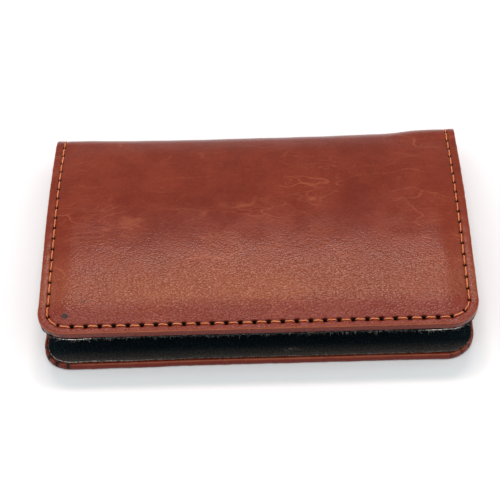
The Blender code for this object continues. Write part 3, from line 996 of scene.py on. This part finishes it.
def suede_paint(name, deep, light, cut_colour):
    p = Paint(name)
    at = p.blank()
    nap = p.noise(at, 0.45, 3.0, 0.7)
    brushed = p.noise(at, 8, 3.0, 0.55, 0.6)
    tone = p.times(p.remap(nap, 0.42, 0.72), p.remap(brushed, 0.3, 0.7, 0.45, 1.0))
    colour = p.mix(tone, deep, light)
    # paler towards the lower cover's front edge: some dust, and painted light where light reaches in under
    # the upper cover
    dust_and_front_light = p.times(p.remap(p.axis(at, "Y"), 0.010, 0.045, 1.0, 0.0), p.remap(nap, 0.3, 0.7, 0.3, 1.0))
    colour = p.mix(p.times(dust_and_front_light, 0.75), colour, (0.075, 0.060, 0.050))
    # one pale scuff, stretched along the case
    from_scuff = p.vector("LENGTH", p.stretched(p.shifted(at, 2.5, 0.9), (SCUFF_U, SCUFF_V, 1.0),
                                                (-0.079 * SCUFF_U, -0.026 * SCUFF_V, 0.0)))
    mark = p.times(p.remap(from_scuff.outputs["Value"], 0.002, 0.009, 1.0, 0.0), p.remap(nap, 0.42, 0.62))
    colour = p.mix(p.times(mark, 0.6), colour, (0.16, 0.145, 0.13))
    broken = p.times(p.remap(p.noise(at, 1.3), 0.3, 0.6, 0.55, 1.0),
                     p.remap(p.noise(at, 0.5), 0.36, 0.56, 0.45, 1.0))
    edge_tint = p.times(p.value("cut"), broken)
    colour = p.mix(p.remap(edge_tint, 0.15, 0.95), colour, cut_colour)
    p.bump((p.noise(at, 0.9), 0.10), (nap, 0.16))
    p.set(Base_Color=colour, Roughness=0.95, Specular_IOR_Level=0.05, Sheen_Weight=0.02,
          Sheen_Roughness=0.4, Sheen_Tint=(0.8, 0.85, 0.95, 1.0))
    return p.material


def fibre_paint():
    p = Paint("suede_fibre")
    colour = p.mix(p.value("tone"), (0.04, 0.036, 0.033), (0.42, 0.36, 0.31))
    p.set(Base_Color=colour, Roughness=0.8)
    return p.material


def board_paint(name, dark, light):
    p = Paint(name)
    grain = p.noise(p.node("ShaderNodeTexCoord").outputs["Object"], 1 / 9, 4.0)
    p.bump((grain, 0.04))
    p.set(Base_Color=p.mix(grain, dark, light), Roughness=0.9)
    return p.material


def floor_paint():
    p = Paint("studio_floor")
    grain = p.noise(p.node("ShaderNodeTexCoord").outputs["Object"], 2.5)
    colour = p.mix(grain, (0.712, 0.742, 0.762), (0.732, 0.762, 0.782))
    p.set(Base_Color=colour, Roughness=1.0, Specular_IOR_Level=0.0)
    return p.material


# ---- the pieces
LEATHER = leather_paint()
THREAD = thread_paint("waxed_thread", (0.24, 0.055, 0.018), (0.60, 0.200, 0.080), (0.68, 0.29, 0.14))
DARK_THREAD = thread_paint("dark_thread", (0.003, 0.003, 0.003), (0.008, 0.008, 0.008), (0.010, 0.010, 0.010))
SUEDE = suede_paint("black_suede", (0.0010, 0.0040, 0.0060), (0.0135, 0.0245, 0.0310), (0.85, 0.80, 0.72))
LINING_CLOTH = suede_paint("lining_suede", (0.0012, 0.0038, 0.0058), (0.0140, 0.0240, 0.0300),
                           (0.12, 0.10, 0.08))
FIBRE = fibre_paint()
FOAM = suede_paint("pad_foam", (0.30, 0.28, 0.24), (0.45, 0.43, 0.38), (0.40, 0.38, 0.33))
BOARD = board_paint("grey_board", (0.16, 0.14, 0.12), (0.30, 0.27, 0.23))
FLOOR = floor_paint()

JOIN = {  # the stretch of the case over which each half turns from its cover's body to the spine's
    "lower": ("lower_cover", "spine", (0, SPINE_CENTRE_Y, 0),
              (0, SPINE_CENTRE_Y + SPINE_RADIUS, SPINE_RADIUS)),
    "upper": ("spine", "upper_cover", (0, SPINE_CENTRE_Y + SPINE_RADIUS, SPINE_RADIUS),
              (0, TANGENT_Y, SPINE_RADIUS * (1 + math.cos(TAIL_SLOPE)))),
}


def settle(piece, side, material, nodes, bends=True):
    """Gives a piece its material and hides the CAD nodes that it stands for. A piece that doesn't bend is
    attached to its cover's body; the others are baked in place.
    """
    piece.data.materials.clear()
    piece.data.materials.append(material)
    if bends:
        a, b, start, end = JOIN[side]
        tuple(MM * c for c in start)
        tuple(MM * c for c in end)
        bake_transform(piece)
    else:
        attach(piece, side + "_cover")
    if nodes:
        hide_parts(*nodes)
    return piece


for side in REACH:
    cover = side + "_cover"
    with_spine = side == "lower"
    skin = settle(leather_half(side), side, LEATHER,
                  [cover + "_leather"] + ["spine_leather"] * with_spine)
    lining = settle(make_lining(side), side, LINING_CLOTH,
                    [cover + "_lining"] + ["spine_lining"] * with_spine)
    panel = settle(make_panel(side), side, SUEDE, [side + "_card_pocket"], bends=False)
    settle(make_board(side), side, BOARD, [cover + "_board"], bends=False)
    settle(make_reinforcement(side), side, BOARD, ["spine_reinforcement"] * with_spine)
    settle(make_stitching(side, False), side, THREAD,
           [cover + "_stitching"] + ["spine_stitching_left", "spine_stitching_right"] * with_spine)
    settle(make_stitching(side, True), side, DARK_THREAD,
           [cover + "_inner_stitching"]
           + ["spine_inner_stitching_left", "spine_inner_stitching_right"] * with_spine)
    settle(make_fibres(side), side, FIBRE, [], bends=False)

padding = settle(make_padding(), "upper", FOAM, ["upper_cover_padding"], bends=False)

# ---- floor, light and camera
floor_mesh = bpy.data.meshes.new("studio_floor")
shape = bmesh.new()
bmesh.ops.create_grid(shape, x_segments=24, y_segments=24, size=9.0)
shape.to_mesh(floor_mesh)
shape.free()
floor_mesh.materials.append(FLOOR)
floor = bpy.data.objects.new("studio_floor", floor_mesh)
floor.location = (0, 0, -0.0001)
scene.collection.objects.link(floor)

world = bpy.data.worlds.new("studio")
world.use_nodes = True
sky = world.node_tree.nodes["Background"]
sky.inputs["Color"].default_value = (1.0, 0.99, 0.975, 1.0)
sky.inputs["Strength"].default_value = 0.60
scene.world = world
scene.view_settings.view_transform = "Standard"


def soft_light(name, elevation, azimuth, distance, width, depth, power, colour=(1, 1, 1)):
    """A rectangular light aimed at the case. Azimuth 0 is in front, 180 behind."""
    data = bpy.data.lights.new(name, "AREA")
    data.shape = "RECTANGLE"
    data.size, data.size_y = width, depth
    data.energy = power
    data.color = colour
    made = bpy.data.objects.new(name, data)
    e, z = math.radians(elevation), math.radians(azimuth)
    made.location = (distance * math.cos(e) * math.sin(z), -distance * math.cos(e) * math.cos(z),
                     distance * math.sin(e))
    made.rotation_euler = (-Vector(made.location)).to_track_quat("-Z", "Y").to_euler()
    scene.collection.objects.link(made)


soft_light("back_softbox", 68, 180, 1.0, 0.44, 0.14, 3.2, (1.0, 0.80, 0.50))
soft_light("back_left", 66, -160, 1.0, 0.16, 0.07, 1.1, (0.92, 0.70, 1.0))
soft_light("back_right", 66, 160, 1.0, 0.16, 0.07, 1.1, (0.92, 0.70, 1.0))
soft_light("front_key", 70, 0, 1.5, 3.2, 2.0, 24.0)

# the camera looks down at the case from the front, turned a little
ELEVATION, HEADING, ROLL = math.radians(51.482), math.radians(-1.577), math.radians(-2.813)
forward = Vector((math.sin(HEADING) * math.cos(ELEVATION), math.cos(HEADING) * math.cos(ELEVATION),
                  -math.sin(ELEVATION)))
level = Vector((math.cos(HEADING), -math.sin(HEADING), 0))
upright = level.cross(forward)
right = math.cos(ROLL) * level + math.sin(ROLL) * upright
up = -math.sin(ROLL) * level + math.cos(ROLL) * upright
camera_data = bpy.data.cameras.new("camera")
camera_data.sensor_width = 36.0
camera_data.lens = 104.03
camera_data.clip_start = 0.01
camera = bpy.data.objects.new("camera", camera_data)
turned = Matrix((right, up, -forward)).transposed().to_4x4()
turned.translation = Vector((4.44, -229.32, 290.74)) * MM
camera.matrix_world = turned
scene.collection.objects.link(camera)
scene.camera = camera
